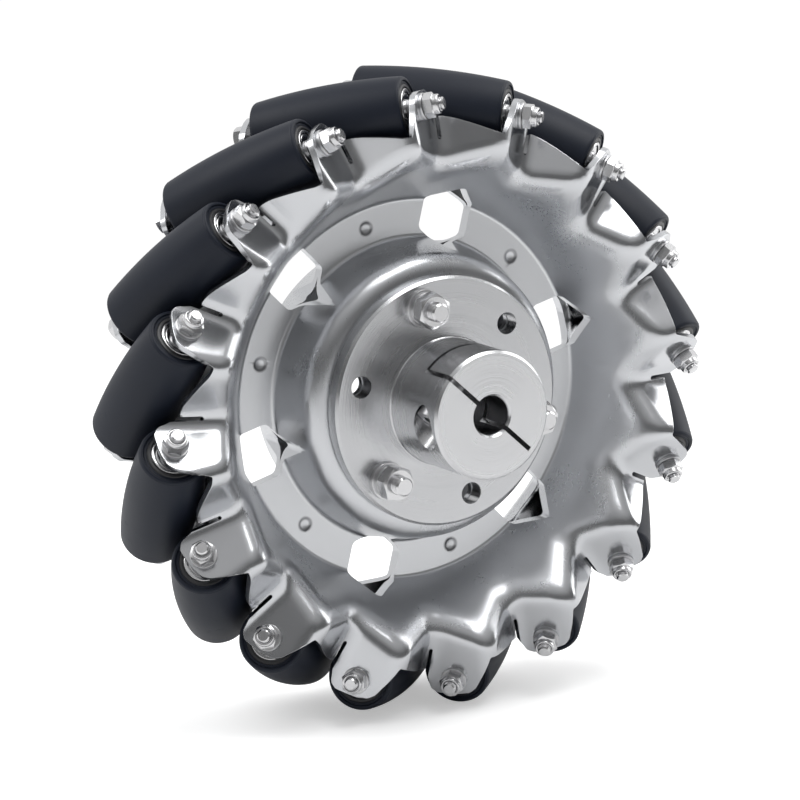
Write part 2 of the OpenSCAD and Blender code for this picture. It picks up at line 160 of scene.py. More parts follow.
print("loading left", len(bpy.context.selected_objects), "objects selected")

# %% [markdown]
# ### Modifiers, applied at once
# A Boolean cuts or intersects, a Bevel rounds edges, and Weighted Normal keeps broad
# faces looking flat. Each is added and applied in one step, so the mesh is final.

# %% Cut, round and smooth a piece
def apply_modifier(piece, kind, **settings):
    pick(piece)
    modifier = piece.modifiers.new(kind.lower(), kind)
    for key, value in settings.items():
        setattr(modifier, key, value)
    bpy.ops.object.modifier_apply(modifier=modifier.name)


def cut(piece, cutter, operation="DIFFERENCE"):
    """Boolean a cutter into a piece, and remove the cutter."""
    apply_modifier(piece, "BOOLEAN", object=cutter, operation=operation, solver="EXACT")
    bpy.data.objects.remove(cutter, do_unlink=True)
    return piece


def soften(piece, width, segments=2, angle=38):
    """Round the edges that turn by more than an angle."""
    apply_modifier(piece, "BEVEL", width=width * MM, segments=segments, limit_method="ANGLE",
                   angle_limit=math.radians(angle), use_clamp_overlap=True)
    return piece


def smooth(piece, angle=32):
    pick(piece)
    bpy.ops.object.shade_smooth_by_angle(angle=math.radians(angle))
    return piece


def true_flats(piece):
    """Keep large flat faces flat where smooth shading meets small rounded edges."""
    apply_modifier(piece, "WEIGHTED_NORMAL", keep_sharp=True)
    return piece


print("edges that turn by more than", soften.__defaults__[1], "degrees are rounded")

# %% [markdown]
# ## Turning on the lathe
# Most of this wheel is turned: rollers, rings, washers, bolts and the hub. A lathe part
# is one outline spun about its axis. The outline starts as one vertex and is extruded
# from point to point; Spin then sweeps it round, and the seam is merged.

# %% Turn a piece from its outline
def lathe(name, outline, steps=64):
    """Closed outline of (radius, height) points in millimetres, spun about Z."""
    same_place = 1e-7
    clear_selection()
    bpy.ops.mesh.primitive_plane_add(size=MM)
    piece = bpy.context.object
    piece.name = piece.data.name = name
    open_mesh(piece)
    bpy.ops.mesh.merge(type="CENTER")
    points = [Vector((r * MM, 0, h * MM)) for r, h in outline]
    bpy.ops.transform.translate(value=points[0])
    for a, b in zip(points, points[1:] + points[:1]):
        bpy.ops.mesh.extrude_region_move(TRANSFORM_OT_translate={"value": b - a})
    bpy.ops.mesh.select_all(action="SELECT")
    bpy.ops.mesh.remove_doubles(threshold=same_place)
    bpy.ops.mesh.select_all(action="SELECT")
    bpy.ops.mesh.spin(steps=steps, angle=2 * math.pi, center=(0, 0, 0), axis=(0, 0, 1))
    bpy.ops.mesh.select_all(action="SELECT")
    bpy.ops.mesh.remove_doubles(threshold=same_place)
    bpy.ops.mesh.select_all(action="SELECT")
    bpy.ops.mesh.normals_make_consistent(inside=False)
    close_mesh()
    return smooth(piece)


def arc(cx, cz, r, start, end, steps=4):
    """Points round part of a circle, for rounded corners on an outline."""
    return [(cx + r * math.cos(math.radians(start + (end - start) * i / steps)),
             cz + r * math.sin(math.radians(start + (end - start) * i / steps)))
            for i in range(steps + 1)]


def rounded_ring(r_in, r_out, low, high, edge=0.2):
    """Outline of a ring with its four corners rounded."""
    return (arc(r_out - edge, low + edge, edge, -90, 0, 3)
            + arc(r_out - edge, high - edge, edge, 0, 90, 3)
            + arc(r_in + edge, high - edge, edge, 90, 180, 3)
            + arc(r_in + edge, low + edge, edge, 180, 270, 3))


print("a plain ring's outline has", len(rounded_ring(1, 2, 0, 1)), "points")

# %% [markdown]
# ## Repeats
# What repeats is modelled once. Each copy gets its own mesh, moved to its place; copies
# that stay together, such as all the washers, are joined into one piece.

# %% Place, copy and join
def place(piece, matrix):
    """Move a piece's mesh, and leave its object at the origin."""
    piece.data.transform(matrix)
    piece.data.update()
    return piece


def copy_to(piece, name, matrix):
    twin = piece.copy()
    twin.data = piece.data.copy()
    twin.name = twin.data.name = name
    bpy.context.collection.objects.link(twin)
    return place(twin, matrix)


def join(*pieces):
    pick(*pieces)
    bpy.ops.object.join()
    return pieces[0]


def repeat(piece, name, matrices):
    """One piece of many copies. The first one, which they were made from, is removed."""
    twins = [copy_to(piece, name + "_copy", m) for m in matrices]
    bpy.data.objects.remove(piece, do_unlink=True)
    joined = join(*twins)
    joined.name = joined.data.name = name
    return joined


def one_per_roller(piece, kind, places):
    """A copy of its own for each roller, named for the roller and the kind of piece."""
    twins = [copy_to(piece, "roller_%02d_%s" % (k + 1, kind), m) for k, m in enumerate(places)]
    bpy.data.objects.remove(piece, do_unlink=True)
    return twins


print("roller 9 stands at", [round(v, 4) for v in on_roller(8).to_translation()])

# %% [markdown]
# ## Hexagons
# A nut or a bolt head is cut from hexagon bar and then faced on the lathe, which turns
# its corners off in curved bites. Intersecting a six-sided prism with a turned blank
# makes the same curves. The faces that bear on a washer stay whole on a bolt's head.

# %% Face a hexagon
FACED_TO, FACE_RISE = 0.93, 0.58  # of half the flats, and of the bite out of a corner


def corner_r(across_flats):
    """Radius to the corners of a hexagon."""
    return across_flats / 2 / math.cos(math.radians(30))


def hexagon(name, across_flats, height, faced="top", bore_r=0.0):
    """A nut faced on both sides, or a bolt head faced on its top alone."""
    corner = corner_r(across_flats)
    clear_selection()
    bpy.ops.mesh.primitive_cylinder_add(vertices=6, radius=corner * MM, depth=height * MM,
                                        location=(0, 0, height / 2 * MM))
    piece = bpy.context.object
    piece.name = piece.data.name = name
    bpy.ops.object.transform_apply(location=True, rotation=False, scale=False)
    bite = corner - across_flats / 2 * FACED_TO
    drop = bite * FACE_RISE
    foot = ([(corner - bite, 0.0), (corner, drop)] if faced == "both"
            else [(corner + 0.5, 0.0), (corner + 0.5, 0.2), (corner, 0.21)])
    top = [(corner, height - drop), (corner - bite, height), (bore_r, height)]
    cut(piece, lathe("blank", [(bore_r, 0.0)] + foot + top, 72), "INTERSECT")
    return smooth(piece, 25)


print("a 7 mm hexagon is", round(2 * corner_r(7), 2), "mm across its corners")

# %% [markdown]
# ## The pressed plates
# Each plate is one disc of stainless sheet, pressed into a dish whose rim is folded into
# sixteen slanted tabs. Every tab is square to one roller's axle, and a second facet
# leads back down to the next tab. No primitive bends this way, so the sheet's middle
# surface is computed as a grid of points, and Solidify then gives it its thickness.

# %% Describe the dish's section
RING_IN, RING_OUT = 48.6, 60.8
DOME_R, HOLE_R = 43.6, 15.0
CONE_A = 60
CONE_SLOPE = math.tan(math.radians(CONE_A))
RING_BEND, SHOULDER_BEND = 2.5, 6.0
CONE_FOOT = RING_OUT + RING_BEND * 0.3


def cone_mid(r):
    """Height of the cone's middle surface at radius r."""
    return SHEET / 2 + (r - CONE_FOOT) * CONE_SLOPE


def bend(p0, p1, p2, radius, steps):
    """Arc of a bend at corner p1 of a line from p0 to p2."""
    p0, p1, p2 = Vector(p0), Vector(p1), Vector(p2)
    a, b = (p0 - p1).normalized(), (p2 - p1).normalized()
    half = a.angle(b) / 2
    centre = p1 + (a + b).normalized() * radius / math.sin(half)
    first = p1 + a * radius / math.tan(half) - centre
    last = p1 + b * radius / math.tan(half) - centre
    start = math.atan2(first.y, first.x)
    turn = (math.atan2(last.y, last.x) - start + math.pi) % (2 * math.pi) - math.pi
    return [(centre.x + radius * math.cos(start + turn * i / steps),
             centre.y + radius * math.sin(start + turn * i / steps)) for i in range(steps + 1)]


def between(p, q, n):
    """Points that divide the line from p to q in n, without its ends."""
    return [(p[0] + (q[0] - p[0]) * i / n, p[1] + (q[1] - p[1]) * i / n) for i in range(1, n)]


CONE_END = 66.0
dish_corners = [(HOLE_R, DOME_H - SHEET / 2), (DOME_R, DOME_H - SHEET / 2),
                (RING_IN - RING_BEND * 0.3, SHEET / 2), (CONE_FOOT, SHEET / 2),
                (CONE_END, cone_mid(CONE_END))]
shoulder = bend(*dish_corners[0:3], SHOULDER_BEND, 8)
foot_in = bend(*dish_corners[1:4], RING_BEND, 5)
foot_out = bend(*dish_corners[2:5], RING_BEND, 5)
dish_line = ([dish_corners[0]] + between(dish_corners[0], shoulder[0], 5) + shoulder
             + between(shoulder[-1], foot_in[0], 4) + foot_in
             + between(foot_in[-1], foot_out[0], 3) + foot_out)
print("the dish's section has", len(dish_line), "points")

# %% [markdown]
# ### The wave of the rim
# At an angle e short of its roller, a tab is a plane that falls clockwise, and the return
# facet climbs back. Soft minimum and maximum blend the planes, which gives folds with a
# real bend radius instead of creases.

# %% Describe the rim's wave
HOLE_Y = TAB_S * math.sin(SLANT)
VALLEY_W, CREST_W, FREE_W = 12.0, 13.0, 7.0
FOLD, FOOT_FOLD = 8.0, 11.0


def across_tab(width):
    """Angle short of the roller at a distance across the tab from its axle hole."""
    return math.degrees(math.atan((HOLE_Y + width * math.cos(SLANT)) / AXLE_R))


HOLE_A, VALLEY_A = across_tab(0), across_tab(VALLEY_W)
CREST_A, FREE_A = across_tab(-CREST_W), across_tab(-FREE_W)


def soft_min(a, b, k=FOLD):
    h = max(k - abs(a - b), 0)
    return min(a, b) - h * h / (4 * k)


def soft_max(a, b, k=FOLD):
    return -soft_min(-a, -b, k)


def tab_z(r, e):
    """Height of a tab's face."""
    return TAB_FRONT / math.cos(SLANT) - r * math.sin(math.radians(e)) * math.tan(SLANT)


def return_z(r, e):
    """Height of the facet that leads back up to the tab."""
    low_e = VALLEY_A - PITCH
    low, high = tab_z(r, VALLEY_A), tab_z(r, CREST_A)
    return low + (high - low) * (e - low_e) / (CREST_A - low_e)


def facet_z(r, e):
    return soft_max(soft_min(tab_z(r, e), return_z(r, e)),
                    max(return_z(r, e - PITCH), tab_z(r, e + PITCH)))


def cone_z(r):
    return cone_mid(r) + SHEET / 2 / math.cos(math.radians(CONE_A))


def rim_z(r, e):
    return soft_min(cone_z(r), facet_z(r, e), FOOT_FOLD)


def fold_r(e):
    """Radius at which the cone meets the facets."""
    r = 74.0
    for _ in range(5):
        r += (facet_z(r, e) - cone_z(r)) / CONE_SLOPE
    return r


print("tab folds at", round(VALLEY_A, 2), "and", round(CREST_A, 2), "degrees short of its roller")

# %% [markdown]
# ### The rim's outline
# Tabs reach past the rollers' middles; between them the edge runs lower. The outline is
# a list of angle and radius, averaged over a third of a degree so its corners are round.

# %% Describe the outline
TAB_END = math.hypot(AXLE_R, HOLE_Y) + 5.2
CREST_R, VALLEY_R = AXLE_R - 4.8, AXLE_R - 1.8
FAR_A = VALLEY_A - 1
EDGE_BLUR = (-0.16, -0.08, 0, 0.08, 0.16)
rim_edge = [(VALLEY_A - PITCH, VALLEY_R), (VALLEY_A - PITCH + 1, VALLEY_R + 0.3),
            (VALLEY_A - PITCH + 3, VALLEY_R), (CREST_A - 2, CREST_R + 0.4), (CREST_A, CREST_R),
            (FREE_A - 0.3, TAB_END - 4.5), (FREE_A + 0.2, TAB_END - 2.2),
            (FREE_A + 1.1, TAB_END - 0.5), (HOLE_A, TAB_END), (FAR_A - 1.4, TAB_END - 0.5),
            (FAR_A - 0.3, TAB_END - 2.2), (FAR_A, TAB_END - 4), (VALLEY_A - 0.2, VALLEY_R + 2),
            (VALLEY_A, VALLEY_R)]


def edge_at(e):
    e = (e - rim_edge[0][0]) % PITCH + rim_edge[0][0]
    for (a, ra), (b, rb) in zip(rim_edge, rim_edge[1:]):
        if a <= e <= b:
            return ra + (rb - ra) * (e - a) / (b - a)
    return VALLEY_R


def edge_r(e):
    return sum(edge_at(e + d) for d in EDGE_BLUR) / len(EDGE_BLUR)


def angle_steps(coarse=0.85, middling=0.5, fine=0.3):
    """Angles over one pitch, closer together near the folds and the tab's corners."""
    angles, e = [], rim_edge[0][0]
    busy = [CREST_A, FREE_A + 0.2, FAR_A, VALLEY_A, VALLEY_A - PITCH]
    while e < VALLEY_A - 0.1:
        angles.append(e)
        near = min(abs(e - b) for b in busy)
        e += fine if near < 0.9 else (coarse if near > 2.4 else middling)
    return angles


columns = angle_steps()
print("one pitch of the rim has", len(columns), "columns")

# %% [markdown]
# ### Building the sheet
# The grid's rows run from the centre hole out to the edge. The rim's points are moved
# half a sheet inwards along the surface normal, so that tabs keep their thickness.

# %% Build the sheet's middle surface
FOLD_STEPS = (-7.6, -6.0, -4.6, -3.4, -2.4, -1.4, -0.5, 0.5, 1.4, 2.4, 3.4, 4.6, 6.0)
FIRST_ROW_R, ROWS_TO_EDGE = 64.2, 8


def rim_point(turn, e, r):
    a = math.radians(turn - e)
    return Vector((r * math.cos(a), r * math.sin(a), rim_z(r, e)))


def rim_middle(turn, e, r, d=0.05):
    across = rim_point(turn, e - d, r) - rim_point(turn, e + d, r)
    outward = rim_point(turn, e, r + d) - rim_point(turn, e, r - d)
    return rim_point(turn, e, r) - outward.cross(across).normalized() * SHEET / 2


def rim_rows(e):
    fold, edge = fold_r(e), edge_r(e)
    rows = [FIRST_ROW_R]
    rows += [max(fold + d, 64.9 + 0.3 * i) for i, d in enumerate(FOLD_STEPS)]
    start = rows[-1]
    return rows + [start + (edge - start) * i / ROWS_TO_EDGE for i in range(1, ROWS_TO_EDGE + 1)]


def sheet_points():
    points = []
    for k in range(ROLLER_N):
        turn = FIRST_ROLLER + k * PITCH
        for e in reversed(columns):
            a = math.radians(turn - e)
            points += [(r * math.cos(a), r * math.sin(a), z) for r, z in dish_line]
            points += [tuple(rim_middle(turn, e, r)) for r in rim_rows(e)]
    return points


points = sheet_points()
ring = ROLLER_N * len(columns)
rows = len(points) // ring
quads = [(i * rows + j, i * rows + j + 1, (i + 1) % ring * rows + j + 1, (i + 1) % ring * rows + j)
         for i in range(ring) for j in range(rows - 1)]
sheet_mesh = bpy.data.meshes.new("front_sheet")
sheet_mesh.from_pydata([[v * MM for v in p] for p in points], [], quads)
front_sheet = bpy.data.objects.new("front_sheet", sheet_mesh)
bpy.context.collection.objects.link(front_sheet)
open_mesh(front_sheet)
bpy.ops.mesh.normals_make_consistent(inside=False)
close_mesh()
if sum(p.normal.z * p.area for p in sheet_mesh.polygons) < 0:
    sheet_mesh.flip_normals()
apply_modifier(front_sheet, "SOLIDIFY", thickness=SHEET * MM, offset=0, use_even_offset=True)
soften(front_sheet, 0.3, 2, 50)
print("the sheet has", len(front_sheet.data.polygons), "faces")

# %% [markdown]
# ### The punches
# The press punches six hexagonal windows, the hub's holes, the axle holes and a relief
# slot beside each tab. A punch is a cylinder or a box that stands through the sheet, and
# its upright edges are bevelled where the hole has rounded corners.

# %% Shape the punches
def post(radius, height, matrix, vertices=48):
    """A cylinder about the origin, moved to its place."""
    clear_selection()
    bpy.ops.mesh.primitive_cylinder_add(vertices=vertices, radius=radius * MM, depth=height * MM)
    return place(bpy.context.object, matrix)


def round_uprights(punch, width, chosen=lambda x: True):
    """Bevel the upright edges of a punch whose x is one of those chosen."""
    open_mesh(punch)
    bpy.ops.mesh.select_all(action="DESELECT")
    close_mesh()
    for edge in punch.data.edges:
        a, b = (punch.data.vertices[v].co for v in edge.vertices)
        edge.select = abs(a.z - b.z) > 0.01 and chosen(a.x)
    bpy.ops.object.mode_set(mode="EDIT")
    bpy.ops.mesh.select_mode(type="EDGE")
    bpy.ops.mesh.bevel(offset=width * MM, segments=5)
    bpy.ops.mesh.select_mode(type="VERT")
    close_mesh()
    return punch


WINDOW_FLATS, WINDOW_R, WINDOW_ROUND = 17.5, 56, 2.5 * 0.577
SLOT_W, SLOT_L, SLOT_START, SLOT_ROUND = 1.4, 24, 81.2, 0.65


def window_punch(i):
    punch = post(corner_r(WINDOW_FLATS), 60, turned_by(30), 6)
    round_uprights(punch, WINDOW_ROUND)
    return place(punch, turned_by(WINDOW_A + i * SIXTH) @ shifted(WINDOW_R, 0, 0))


def slot_punch(k):
    """Cut beside tab k, with its inner end rounded."""
    clear_selection()
    bpy.ops.mesh.primitive_cube_add(size=1)
    punch = bpy.context.object
    punch.data.transform(Matrix.Diagonal((SLOT_L * MM, SLOT_W * MM, 80 * MM, 1)))
    round_uprights(punch, SLOT_ROUND, lambda x: x < 0)
    return place(punch, turned_by(FIRST_ROLLER + k * PITCH - VALLEY_A)
                 @ shifted(SLOT_START + SLOT_L / 2, 0, 40))


punches = [window_punch(i) for i in range(WINDOW_N)] + [slot_punch(k) for k in range(ROLLER_N)]
print(len(punches), "punches for windows and slots")

# %% [markdown]
# ### Punching the sheet
# Round punches make the holes, and the crown of a large ball leaves each spot weld's
# shallow hollow. All of them are joined into one cutter for a single Boolean.

# %% Punch the windows, holes, slots and welds
SHEET_HOLE_R, AXLE_HOLE_R = 3.3, 2.1
WELD_R, WELD_D, WELD_DEPTH = (RING_IN + RING_OUT) / 2, 4.4, 0.45
BALL_R = (WELD_D ** 2 / 4 + WELD_DEPTH ** 2) / (2 * WELD_DEPTH)

punches += [post(SHEET_HOLE_R, 20, at_weld(i, BOLT_CIRCLE_R, DOME_H)) for i in range(WINDOW_N)]
punches += [post(AXLE_HOLE_R, 8, turned_by(FIRST_ROLLER + k * PITCH) @ shifted(AXLE_R, 0, 0)
                 @ turned_by(TILT, "X") @ shifted(0, 0, TAB_S), 24) for k in range(ROLLER_N)]
for i in range(WINDOW_N):
    clear_selection()
    bpy.ops.mesh.primitive_uv_sphere_add(segments=64, ring_count=48, radius=BALL_R * MM)
    punches.append(place(bpy.context.object, at_weld(i, WELD_R, SHEET + BALL_R - WELD_DEPTH)))
cut(front_sheet, join(*punches))
true_flats(smooth(front_sheet, 30))
print("the punched sheet has", len(front_sheet.data.polygons), "faces")

# %% [markdown]
# ### Two plates from one pressing
# The rear plate is the same pressing turned over about the first roller's middle, where
# windows and welds line up again.

# %% Make both plates
first_a = math.radians(FIRST_ROLLER)
FLIP = Matrix.Rotation(math.radians(180), 4, Vector((math.cos(first_a), math.sin(first_a), 0)))
rear_sheet = copy_to(front_sheet, "rear_sheet", WHEEL @ FLIP)
place(front_sheet, WHEEL)
for piece, node in ((front_sheet, "front_plate"), (rear_sheet, "rear_plate")):
    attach(piece, "wheel")
    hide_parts(node)
print("front sheet spans", [round(v * 1000, 1) for v in front_sheet.dimensions], "mm")

# %% [markdown]
# ## Rubber rollers
# The rubber is barrel shaped: its outer line is the wheel's round rim, seen from the
# roller's own slanted axle. At each end a thin lip stands round a shallow recess, as the
# mould leaves it.

# %% Turn the rubber
CORE_R = 8.0


def rubber_r(s):
    """Radius of the rubber at s along its axle, where it touches the wheel's round rim."""
    return math.sqrt(WHEEL_R ** 2 - (s * math.sin(SLANT)) ** 2) - AXLE_R


def rubber_outline(n=22):
    h, end_r = ROLLER_HALF, rubber_r(ROLLER_HALF)
    front = arc(end_r - 0.8, h - 0.8, 0.8, 0, 90, 5)
    lip = [(end_r - 1.15, h), (end_r - 1.35, h - 0.18), (end_r - 1.5, h - 0.42),
           (CORE_R + 0.05, h - 0.42)]
    flat = h - 0.9
    side = [(rubber_r(-flat + 2 * flat * i / n), -flat + 2 * flat * i / n) for i in range(n + 1)]
    half = front + lip
    return side + half + [(r, -s) for r, s in reversed(half)]


rubber = lathe("rubber", rubber_outline(), 72)
rubbers = one_per_roller(rubber, "rubber",
                         [on_roller(k) @ turned_by(37 * k) for k in range(ROLLER_N)])
print(len(rubbers), "rubbers of", len(rubbers[0].data.polygons), "faces")

# %% [markdown]
# ## Roller cores
# Each rubber is bonded to a black moulded tube. Its end shows as a thin bright ring
# round the bearing, because the rim of the tube's mouth is chamfered.

# %% Turn the cores
BEARING_R, BEARING_W = 6.5, 5.0


def core_outline():
    h = ROLLER_HALF
    seat, bore = h - BEARING_W, 5.2
    half = [(CORE_R, h - 0.5), (CORE_R - 0.25, h - 0.2), (CORE_R - 0.6, h - 0.12),
            (BEARING_R + 0.5, h - 0.12), (BEARING_R + 0.02, h - 0.5), (BEARING_R + 0.02, seat),
            (bore, seat)]
    return half + [(r, -s) for r, s in reversed(half)]


core = lathe("core", core_outline(), 64)
cores = one_per_roller(core, "core", [on_roller(k) for k in range(ROLLER_N)])
print(len(cores), "cores of", len(cores[0].data.polygons), "faces")

# %% [markdown]
# ## Ball bearings
# A sealed bearing shows three parts from its end: a ground outer ring, a pressed shield
# set a little below it, and an inner ring that stays still on the axle bolt. The outer
# ring and shield turn with the roller, so they are pieces of their own.

# %% Turn the bearings' outer rings and shields
def outer_ring_outline():
    """Ring and both shields, from the bearing's outer end at height 0 downwards."""
    inside, shield_r = 5.4, 3.22
    face = arc(BEARING_R - 0.25, -0.25, 0.25, 0, 90, 3) + [(inside + 0.15, 0), (inside, -0.15)]
    shield = [(inside, -0.34), (inside - 0.18, -0.42), (inside - 0.42, -0.3),
              (shield_r + 0.6, -0.3), (shield_r + 0.35, -0.42), (shield_r, -0.42),
              (shield_r, -0.7), (inside - 0.4, -0.7)]
    half = face + shield
    return half + [(r, -BEARING_W - z) for r, z in reversed(half)]


near_ring = lathe("near_ring", outer_ring_outline(), 64)
far_ring = copy_to(near_ring, "far_ring", TURN_OVER @ shifted(0, 0, 2 * ROLLER_HALF))
near_ends = [on_roller(k, ROLLER_HALF) for k in range(ROLLER_N)]
bearings = one_per_roller(join(near_ring, far_ring), "bearings", near_ends)
inner_ring = lathe("inner_ring", rounded_ring(2.05, 3.1, -BEARING_W, 0, 0.18), 48)
both_ends = near_ends + [on_roller(k, -ROLLER_HALF) @ TURN_OVER for k in range(ROLLER_N)]
inner_rings = repeat(inner_ring, "bearing_inner_rings_ground", both_ends)
print(len(bearings), "pairs of bearings,", len(inner_rings.data.polygons), "faces of inner rings")

# %% [markdown]
# ### What each roller carries
# Rubber, core and outer rings ride on their roller's body and spin with it.

# %% Hang the rollers' pieces on their bodies
for k in range(ROLLER_N):
    number = "%02d" % (k + 1)
    for piece, node, finish in ((rubbers[k], "roller_tyre_", "roller_rubber"),
                                (cores[k], "roller_core_", "core_plastic"),
                                (bearings[k], "roller_bearings_", "bearing_steel")):
        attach(piece, "roller_" + number)
        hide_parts(node + number)
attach(inner_rings, "wheel")
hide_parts("bearing_inner_rings")

# %% [markdown]
# ## Threads
# At this size a thread's helix can't be told from closed rings, so the end of each bolt
# is turned with a groove for every turn of its thread.

# %% Turn a bolt with a hexagon head
def threaded_outline(r, low, high, pitch, thread_from):
    """Outline of a shank from low to high, grooved above the height thread_from."""
    depth = pitch * 0.54
    point = [(0, high), (r - depth, high)]
    z, teeth = high - depth * 0.6, []
    while z - pitch > thread_from:
        teeth += [(r, z - pitch * 0.2), (r, z - pitch * 0.34),
                  (r - depth, z - pitch * 0.86), (r - depth, z - pitch * 0.98)]
        z -= pitch
    return point + teeth + [(r, z - pitch * 0.4), (r, low), (0, low)]


def hex_bolt(name, r, grip, tip, pitch, thread_from, across_flats, head_h):
    """A bolt with its head below -grip and its point at tip."""
    bolt = lathe(name, threaded_outline(r, -grip - 0.5, tip, pitch, thread_from), 40)
    smooth(bolt, 25)
    head = place(hexagon(name + "_head", across_flats, head_h), TURN_OVER)
    place(head, shifted(0, 0, -grip))
    return join(bolt, head)


print("ten millimetres of M4 thread have", len(threaded_outline(2, 0, 10, 0.7, 0)), "points")

# %% [markdown]
# ## Axle bolts, nuts, washers and spacers
# Every roller turns on one M4 bolt through both plates' tabs. A locking nut holds it on
# the hub's side, with its round collar outwards. No two nuts stop at the same angle when
# they are done up, so each is turned by its own amount.

# %% Make the rollers' fasteners
M4_R, M4_BORE, M4_PITCH, M4_FLATS, M4_HEAD_H = 2.0, 2.05, 0.7, 7.0, 2.8
WASHER_T, NUT_H, COLLAR_H, TIP = 0.8, 3.2, 1.6, 1.4
NUT_S = TAB_FRONT + WASHER_T
COLLAR_TOP = NUT_H + COLLAR_H
random.seed(4)
spin = [random.uniform(0, 60) for _ in range(2 * ROLLER_N)]

bolt = hex_bolt("axle_bolt", M4_R, NUT_S, NUT_S + NUT_H + COLLAR_H + TIP, M4_PITCH, NUT_S,
                M4_FLATS, M4_HEAD_H)
axle_bolts = repeat(bolt, "axle_bolts_plated",
                    [on_roller(k) @ turned_by(spin[k]) for k in range(ROLLER_N)])

nut = hexagon("axle_nut", M4_FLATS, NUT_H, "both", M4_BORE)
collar = lathe("collar", [(M4_BORE, NUT_H - 0.3), (M4_BORE, COLLAR_TOP - 0.35),
                          (2.2, COLLAR_TOP - 0.15)]
               + arc(2.72, COLLAR_TOP - 0.4, 0.4, 110, 0, 5)
               + [(3.18, NUT_H + 0.1), (3.2, NUT_H - 0.3)], 48)
axle_nuts = repeat(join(nut, collar), "axle_nuts_plated",
                   [on_roller(k, NUT_S) @ turned_by(spin[ROLLER_N + k]) for k in range(ROLLER_N)])

washer = lathe("axle_washer", rounded_ring(2.1, 4.2, 0, WASHER_T, 0.15), 48)
outer_faces = [on_roller(k, TAB_FRONT) for k in range(ROLLER_N)]
outer_faces += [on_roller(k, -TAB_FRONT) @ TURN_OVER for k in range(ROLLER_N)]
axle_washers = repeat(washer, "axle_washers_plated", outer_faces)

spacer = lathe("roller_spacer", rounded_ring(2.1, 2.9, 0, TAB_BACK - ROLLER_HALF, 0.12), 48)
roller_spacers = repeat(spacer, "roller_spacers_turned", both_ends)

for piece, node, finish in ((axle_bolts, "axle_bolts", "bright_steel"),
                            (axle_nuts, "axle_nuts", "bright_steel"),
                            (axle_washers, "axle_washers", "washer_steel"),
                            (roller_spacers, "roller_spacers", "washer_steel")):
    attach(piece, "wheel")
    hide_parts(node)
    print(piece.name, len(piece.data.polygons), "faces")

# %% [markdown]
# ## The clamp hub
# The hub is one aluminium turning: a spigot that centres it in the plate, a broad flange
# and a barrel bored for the shaft. Sawing a slit along the barrel and a cut across it
# frees one jaw, which a screw pulls onto the shaft.

# %% Turn and saw the hub
BARREL_R, FLANGE_R, BORE_R, CHAMFER = 20.2, 39.5, 6.0, 0.8
SLIT_A, SLIT_W, HINGE = 139, 1.5, 2.3
CROSS_Z, SCREW_Z, SCREW_OFF, SEAT_Y = NOSE_Z - 14.2, NOSE_Z - 7.8, 12.0, 6.5
SPIGOT_R, SPIGOT_Z, BREAK = HOLE_R - 0.05, DOME_H - SHEET, 0.4
CLAMP = turned_by(SLIT_A)


def hub_outline():
    c, corner = CHAMFER, 0.5
    return ([(BORE_R, SPIGOT_Z), (SPIGOT_R - BREAK, SPIGOT_Z), (SPIGOT_R, SPIGOT_Z + BREAK),
             (SPIGOT_R, DOME_H), (FLANGE_R - BREAK, DOME_H), (FLANGE_R, DOME_H + BREAK),
             (FLANGE_R, FACE_Z - c), (FLANGE_R - c, FACE_Z)]
            + arc(BARREL_R + corner, FACE_Z + corner, corner, 270, 180, 3)
            + [(BARREL_R, NOSE_Z - c), (BARREL_R - c, NOSE_Z),
               (BORE_R + c, NOSE_Z), (BORE_R, NOSE_Z - c)])


def along_screw(y):
    """Place on the clamp screw's line, y millimetres across the slit, with Z along it."""
    return CLAMP @ shifted(SCREW_OFF, y, SCREW_Z) @ turned_by(-90, "X")


def box_cutter(low, high, matrix):
    clear_selection()
    bpy.ops.mesh.primitive_cube_add(size=1)
    size = [(b - a) for a, b in zip(low, high)]
    middle = [(a + b) / 2 for a, b in zip(low, high)]
    return place(bpy.context.object,
                 matrix @ shifted(*middle) @ Matrix.Diagonal([v * MM for v in size] + [1]))


hub = lathe("clamp_hub_turned", hub_outline(), 128)
drills = [post(3.1, 30, at_weld(i, BOLT_CIRCLE_R, FACE_Z)) for i in USED_HOLES]
drills += [post(3.5, 30, at_weld(i, BOLT_CIRCLE_R, FACE_Z)) for i in OPEN_HOLES]
drills += [post(3.3, 60, along_screw(30)), post(5.6, 40, along_screw(SEAT_Y + 20)),
           post(3.05, 26, along_screw(-0.5))]
for drill in drills:
    cut(hub, drill)
FAR = 60  # past the barrel on every side
for low, high in (((-BARREL_R + HINGE, -SLIT_W / 2, CROSS_Z), (FAR, SLIT_W / 2, CROSS_Z + FAR)),
                  ((-BARREL_R + HINGE, -FAR, CROSS_Z),
                   (FAR, SLIT_W / 2 - 0.001, CROSS_Z + SLIT_W))):
    cut(hub, box_cutter(low, high, CLAMP))
soften(hub, 0.18, 2, 40)
smooth(hub, 30)
for face in hub.data.polygons:
    if abs(face.normal.z) > 0.9999:
        face.use_smooth = False  # the faced ends stay flat beside their rounded holes
place(hub, WHEEL)
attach(hub, "wheel")
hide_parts("clamp_hub")
print("the hub has", len(hub.data.polygons), "faces")

# %% [markdown]
# ## The clamp screw
# A socket screw lies across the slit, with its head sunk in the solid half.

